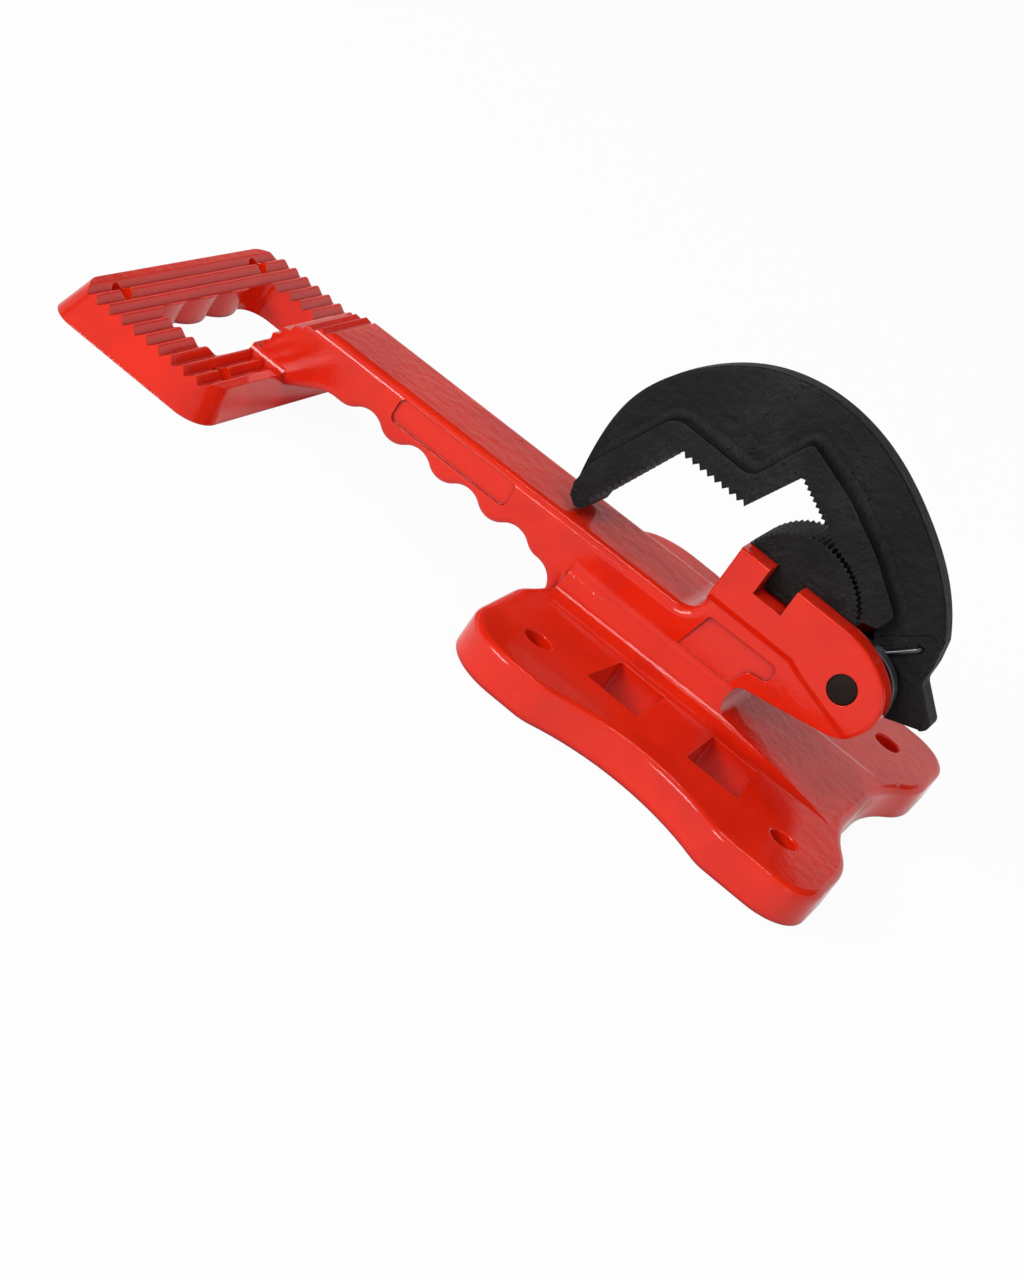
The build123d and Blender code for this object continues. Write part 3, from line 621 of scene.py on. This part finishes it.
def fillet_points(run, rise, share, side):
    """Grid of a hollow quarter round along the band's line, on the web's face on one side.

    With the width w and the height h at a point of the line, its surface lies w times one
    minus the sine outward from the band and h times one minus the cosine above the web, for a
    quarter turn. The width is the least of the run and the given share of the way to the back
    edge, and fades at both ends. Three more points, sunk in the band and the web, close it.
    """
    line = band_line()
    tangent = unit(np.gradient(line, axis=0))
    outward = np.stack([-tangent[:, 1], tangent[:, 0]], -1)
    gap = np.linalg.norm(line[:, None] - back_line()[None], axis=-1).min(1)
    steps = np.linalg.norm(np.diff(line, axis=0), axis=1)
    length = np.concatenate([[0], np.cumsum(steps)])
    ends = np.minimum(length / (FADE_AT_TIP * MM), (length[-1] - length) / (FADE_AT_HUB * MM))
    width = np.minimum(run, share * gap) * np.clip(ends, LEAST_FADE, 1)
    height = rise * width / run
    turn = np.linspace(0, math.pi / 2, 10)
    sunk = np.full((len(line), 2), -FILLET_SINK * MM)
    out = np.concatenate([width[:, None] * (1 - np.sin(turn)), sunk, width[:, None]], 1)
    up = np.concatenate([height[:, None] * (1 - np.cos(turn)), height[:, None], sunk], 1)
    flat = line[:, None] + outward[:, None] * out[..., None]
    grid = np.stack([flat[..., 0], side * (WEB_HALF * MM + up), flat[..., 1]], -1)
    return grid if side < 0 else grid[:, ::-1]


def spring_line(coil, pitch, turns):
    """Centreline of the spring and its side vectors, in metres.

    A straight leg from the frame's hole, a helix about the Y axis through the pin that starts
    at its top and moves towards +X, a leg to the hook's hole, and a short end through the web.
    """
    centre = np.array([PIN[0], COIL_START, PIN[1] - COIL_DROP]) * MM
    rate = pitch / (2 * math.pi * coil)
    way = np.array([1.0, rate, 0.0])
    start = centre + np.array([0, 0, coil])
    leg = start - way * FRAME_LEG * MM
    phase = np.linspace(0, 2 * math.pi * turns, TURN_STEPS * turns + 1)[:, None]
    helix = centre + np.concatenate(
        [coil * np.sin(phase), pitch * phase / (2 * math.pi), coil * np.cos(phase)], 1)
    end = helix[-1]
    eye = np.array([HOOK_HOLE[0], 0, DECK + HOOK_HOLE[1]]) * MM
    elbow_x = eye[0] - (eye[2] - end[2]) / math.tan(math.radians(LEG_ANGLE))
    elbow = end + way * (elbow_x - end[0])
    knee = np.array([eye[0], elbow[1], eye[2]])
    tip = np.array([eye[0], TIP_REACH * MM, eye[2]])
    first = arc_between(end, elbow, knee, LEG_BEND * MM, count=9)
    second = arc_between(elbow, knee, tip, LEG_BEND * MM, count=13)
    run = np.linspace(0, 1, 12)[1:-1, None]
    climb = first[-1] + (second[0] - first[-1]) * run
    line = np.concatenate(
        [[leg], leg + (start - leg) * run, helix, first, climb, second, [tip]])
    tangent = unit(np.gradient(line, axis=0))
    side = np.cross(tangent, [0.0, 1.0, 0.0])
    bent = len(line) - len(second) - 1
    side[bent:] = side[bent - 1]
    return line, tangent, unit(side)


def spring_points(line, tangent, side, wire, columns=20):
    """A circle of the wire's radius round every point of the line.

    At an angle round the wire, a point lies the radius times its cosine along the side vector
    and times its sine along the vector across tangent and side.
    """
    angle = np.linspace(0, 2 * math.pi, columns, endpoint=False)[None, :, None]
    across = np.cross(tangent, side)
    circle = np.cos(angle) * side[:, None] + np.sin(angle) * across[:, None]
    return line[:, None] + wire * circle


class VISE_OT_frame(bpy.types.Operator):
    """Give the casting its red enamel."""

    bl_idname = "vise.frame"
    bl_label = "Enamelled frame"

    def execute(self, context):
        material = enamel_material(context.scene.vise_enamel)
        dress(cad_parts["frame"], material)
        return {"FINISHED"}


class VISE_OT_jaws(bpy.types.Operator):
    """Give the hook and the heel their black finishes."""

    bl_idname = "vise.jaws"
    bl_label = "Black jaws"

    def execute(self, context):
        settings = context.scene.vise_jaws
        hook = forged_material(
            "forged_hook", settings.hook, settings, rough=0.52, strength=1.0, shine=0.2)
        heel = forged_material(
            "heel_steel", settings.heel, settings, rough=0.42, strength=1.0, shine=0.15)
        dress(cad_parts["hook_jaw"], hook)
        dress(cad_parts["heel_jaw"], heel)
        return {"FINISHED"}


class VISE_OT_fillet(bpy.types.Operator):
    """Run the hollow fillet along the foot of the hook's toothed band, on both sides."""

    bl_idname = "vise.fillet"
    bl_label = "Band fillets"

    def execute(self, context):
        settings = context.scene.vise_fillet
        grids = [
            fillet_points(settings.run, settings.rise, settings.share, side) for side in (-1, 1)
        ]
        piece = add_object("band_fillet", grid_mesh("band_fillet", grids, "fillet"))
        dress(piece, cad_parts["hook_jaw"].data.materials[0])
        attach(piece, "hook")
        return {"FINISHED"}


class VISE_OT_pin(bpy.types.Operator):
    """Give the pivot pin, the heel's screw and its washer their steel."""

    bl_idname = "vise.pin"
    bl_label = "Pin, screw and washer"

    def execute(self, context):
        pin = turned_material(
            "pin_steel", (0.026, 0.02, 0.017, 1), rough=0.5, centre=(PIN[0] * MM, PIN[1] * MM))
        screw = forged_material(
            "screw_steel", (0.014, 0.014, 0.015, 1), context.scene.vise_jaws,
            rough=0.4, strength=0.3, shine=0.4)
        dress(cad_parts["pivot_pin"], pin)
        dress(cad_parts["heel_screw"], screw)
        dress(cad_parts["heel_washer"], screw)
        return {"FINISHED"}


class VISE_OT_spring(bpy.types.Operator):
    """Make the torsion spring, which twists between the frame and the hook."""

    bl_idname = "vise.spring"
    bl_label = "Torsion spring"

    def execute(self, context):
        settings = context.scene.vise_spring
        line, tangent, side = spring_line(settings.coil, settings.pitch, settings.turns)
        points = spring_points(line, tangent, side, settings.wire)
        spring = add_object("spring_wire", grid_mesh("spring_wire", [points], "wire"))
        dress(spring, wire_material())
        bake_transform(spring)
        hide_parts("hook_spring")
        return {"FINISHED"}


def soft_box(name, place, size, power):
    """A rectangular lamp of that size and power at a place, facing the vise."""
    lamp = bpy.data.lights.new(name, "AREA")
    lamp.shape = "RECTANGLE"
    lamp.size, lamp.size_y = size
    lamp.energy = power
    lamp_object = bpy.data.objects.new(name, lamp)
    bpy.context.scene.collection.objects.link(lamp_object)
    lamp_object.location = place
    away = lamp_object.location - Vector(AIM)
    lamp_object.rotation_euler = away.to_track_quat("Z", "Y").to_euler()


def paper_material(settings):
    """White paper for the floor.

    The camera sees it glow white. Gloss mirrors it as a bright sheet that ends at the paper's
    edge and is painted darker close to the vise, a painted shadow. From below it is clear, and
    where the vise stands on it, it lets the light through to the underside.
    """
    material, tree, shader = new_material("pale_floor")
    shader.inputs["Base Color"].default_value = (0.9, 0.9, 0.9, 1)
    shader.inputs["Roughness"].default_value = 0.9
    glow = add_node(tree, "ShaderNodeEmission", Strength=1.0)
    mix = tree.nodes.new("ShaderNodeMixShader")
    path = tree.nodes.new("ShaderNodeLightPath")
    axes = tree.nodes.new("ShaderNodeSeparateXYZ")
    link(tree, tree.nodes.new("ShaderNodeTexCoord").outputs["Object"], axes.inputs[0])
    paper = one_less(tree, ramp(tree, axes.outputs["X"], *PAPER_EDGE))
    shade = add_node(tree, "ShaderNodeAmbientOcclusion", samples=6, Distance=SHADE_REACH)
    # The mirrored paper is darkened where the vise closes it in: a painted shadow.
    paper_with_painted_shadow = times(tree, paper, ramp(tree, shade.outputs["AO"], *SHADE_OPEN))
    mirrored = times(tree, path.outputs["Is Glossy Ray"], paper_with_painted_shadow)
    seen = math_node(tree, "MAXIMUM", path.outputs["Is Camera Ray"],
                     times(tree, mirrored, PAPER_MIRRORED * settings.mirrored))
    link(tree, times(tree, seen, PAPER_GLOW), mix.inputs[0])
    link(tree, shader.outputs[0], mix.inputs[1])
    link(tree, glow.outputs[0], mix.inputs[2])
    covered = one_less(tree, ramp(tree, shade.outputs["AO"], *SHADE_COVERED))
    lets_light = times(tree, covered, path.outputs["Is Diffuse Ray"])
    below = tree.nodes.new("ShaderNodeNewGeometry").outputs["Backfacing"]
    clear = tree.nodes.new("ShaderNodeMixShader")
    link(tree, math_node(tree, "MAXIMUM", below, lets_light), clear.inputs[0])
    link(tree, mix.outputs[0], clear.inputs[1])
    link(tree, tree.nodes.new("ShaderNodeBsdfTransparent").outputs[0], clear.inputs[2])
    link(tree, clear.outputs[0], tree.nodes["Material Output"].inputs["Surface"])
    return material


def light_world(settings):
    """World that is white to the camera and a weaker light to everything else.

    Gloss mirrors a backdrop in it, with a dark ceiling above a slanting edge behind the vise.
    """
    world = bpy.data.worlds.new("studio")
    bpy.context.scene.world = world
    world.use_nodes = True
    tree = world.node_tree
    background = tree.nodes["Background"]
    path = tree.nodes.new("ShaderNodeLightPath")
    axes = tree.nodes.new("ShaderNodeSeparateXYZ")
    link(tree, tree.nodes.new("ShaderNodeTexCoord").outputs["Generated"], axes.inputs[0])
    least, most = CEILING_SIDES
    across = math_node(
        tree, "MINIMUM", math_node(tree, "MAXIMUM", axes.outputs["X"], least), most)
    slant = math_node(tree, "SUBTRACT", axes.outputs["Z"], times(tree, across, CEILING_SLANT))
    edge = math.sin(settings.backdrop)
    behind = ramp(tree, axes.outputs["Y"], *CEILING_BEHIND)
    above = ramp(tree, slant, low=edge - CEILING_BLUR, high=edge + CEILING_BLUR)
    dark = times(tree, times(tree, above, behind), CEILING_DARK * settings.mirrored)
    mirrored = math_node(tree, "SUBTRACT", settings.mirrored, dark)
    shiny = times(tree, math_node(tree, "SUBTRACT", mirrored, settings.sky),
                  path.outputs["Is Glossy Ray"])
    unseen = math_node(tree, "ADD", shiny, settings.sky)
    strength = math_node(tree, "MAXIMUM", unseen, path.outputs["Is Camera Ray"])
    link(tree, strength, background.inputs["Strength"])
    background.inputs["Color"].default_value = (1, 1, 1, 1)


def place_camera(settings):
    """The photograph's camera, solved from the vise."""
    camera = bpy.data.cameras.new("camera")
    camera.sensor_fit = "HORIZONTAL"
    camera.sensor_width = 36.0
    camera.lens = settings.focal
    camera.clip_start = 0.05
    camera.dof.use_dof = False
    camera_object = bpy.data.objects.new("camera", camera)
    bpy.context.scene.collection.objects.link(camera_object)
    axes = [Vector(axis) for axis in (CAMERA_RIGHT, CAMERA_UP, CAMERA_BACK)]
    turn = Matrix(axes).transposed().to_4x4()
    camera_object.matrix_world = Matrix.Translation(CAMERA_PLACE) @ turn
    bpy.context.scene.camera = camera_object


class VISE_OT_studio(bpy.types.Operator):
    """Set up the floor, the lamps, the world and the camera."""

    bl_idname = "vise.studio"
    bl_label = "Studio"

    def execute(self, context):
        settings = context.scene.vise_studio
        context.scene.view_settings.view_transform = "Standard"
        corners = np.array([(-1, -1), (1, -1), (1, 1), (-1, 1)]) * FLOOR_REACH
        points = np.insert(corners, 2, FLOOR_LEVEL, axis=1)
        mesh = bpy.data.meshes.new("floor")
        mesh.from_pydata(points.tolist(), [], [(0, 1, 2, 3)])
        floor = add_object("floor", mesh)
        dress(floor, paper_material(settings))
        light_world(settings)
        for name, place, size, power in LAMPS:
            soft_box(name, place, size, power)
        place_camera(settings)
        return {"FINISHED"}


class VISE_PT_parts(bpy.types.Panel):
    """Lists the vise's settings and the operators that make it."""

    bl_idname = "VISE_PT_parts"
    bl_label = "Pipe vise"
    bl_space_type = "VIEW_3D"
    bl_region_type = "UI"
    bl_category = "Pipe vise"

    def draw(self, context):
        for group in SETTINGS:
            settings = getattr(context.scene, group)
            box = self.layout.box()
            for name in settings.__annotations__:
                box.prop(settings, name)
        for operator in OPERATORS:
            self.layout.operator(operator.bl_idname)


SETTINGS = {
    "vise_enamel": EnamelSettings,
    "vise_jaws": JawSettings,
    "vise_spring": SpringSettings,
    "vise_fillet": FilletSettings,
    "vise_studio": StudioSettings,
}
OPERATORS = (
    VISE_OT_frame,
    VISE_OT_jaws,
    VISE_OT_fillet,
    VISE_OT_pin,
    VISE_OT_spring,
    VISE_OT_studio,
)


def register():
    """Registers the settings, the operators and the panel."""
    for name, group in SETTINGS.items():
        bpy.utils.register_class(group)
        setattr(bpy.types.Scene, name, bpy.props.PointerProperty(type=group))
    for operator in OPERATORS:
        bpy.utils.register_class(operator)
    bpy.utils.register_class(VISE_PT_parts)


def unregister():
    """Takes away what register added."""
    bpy.utils.unregister_class(VISE_PT_parts)
    for operator in reversed(OPERATORS):
        bpy.utils.unregister_class(operator)
    for name, group in SETTINGS.items():
        delattr(bpy.types.Scene, name)
        bpy.utils.unregister_class(group)


def main():
    """Makes the whole scene in order."""
    register()
    bpy.ops.vise.frame()
    bpy.ops.vise.jaws()
    bpy.ops.vise.fillet()
    bpy.ops.vise.pin()
    bpy.ops.vise.spring()
    bpy.ops.vise.studio()


if __name__ == "__main__":
    main()
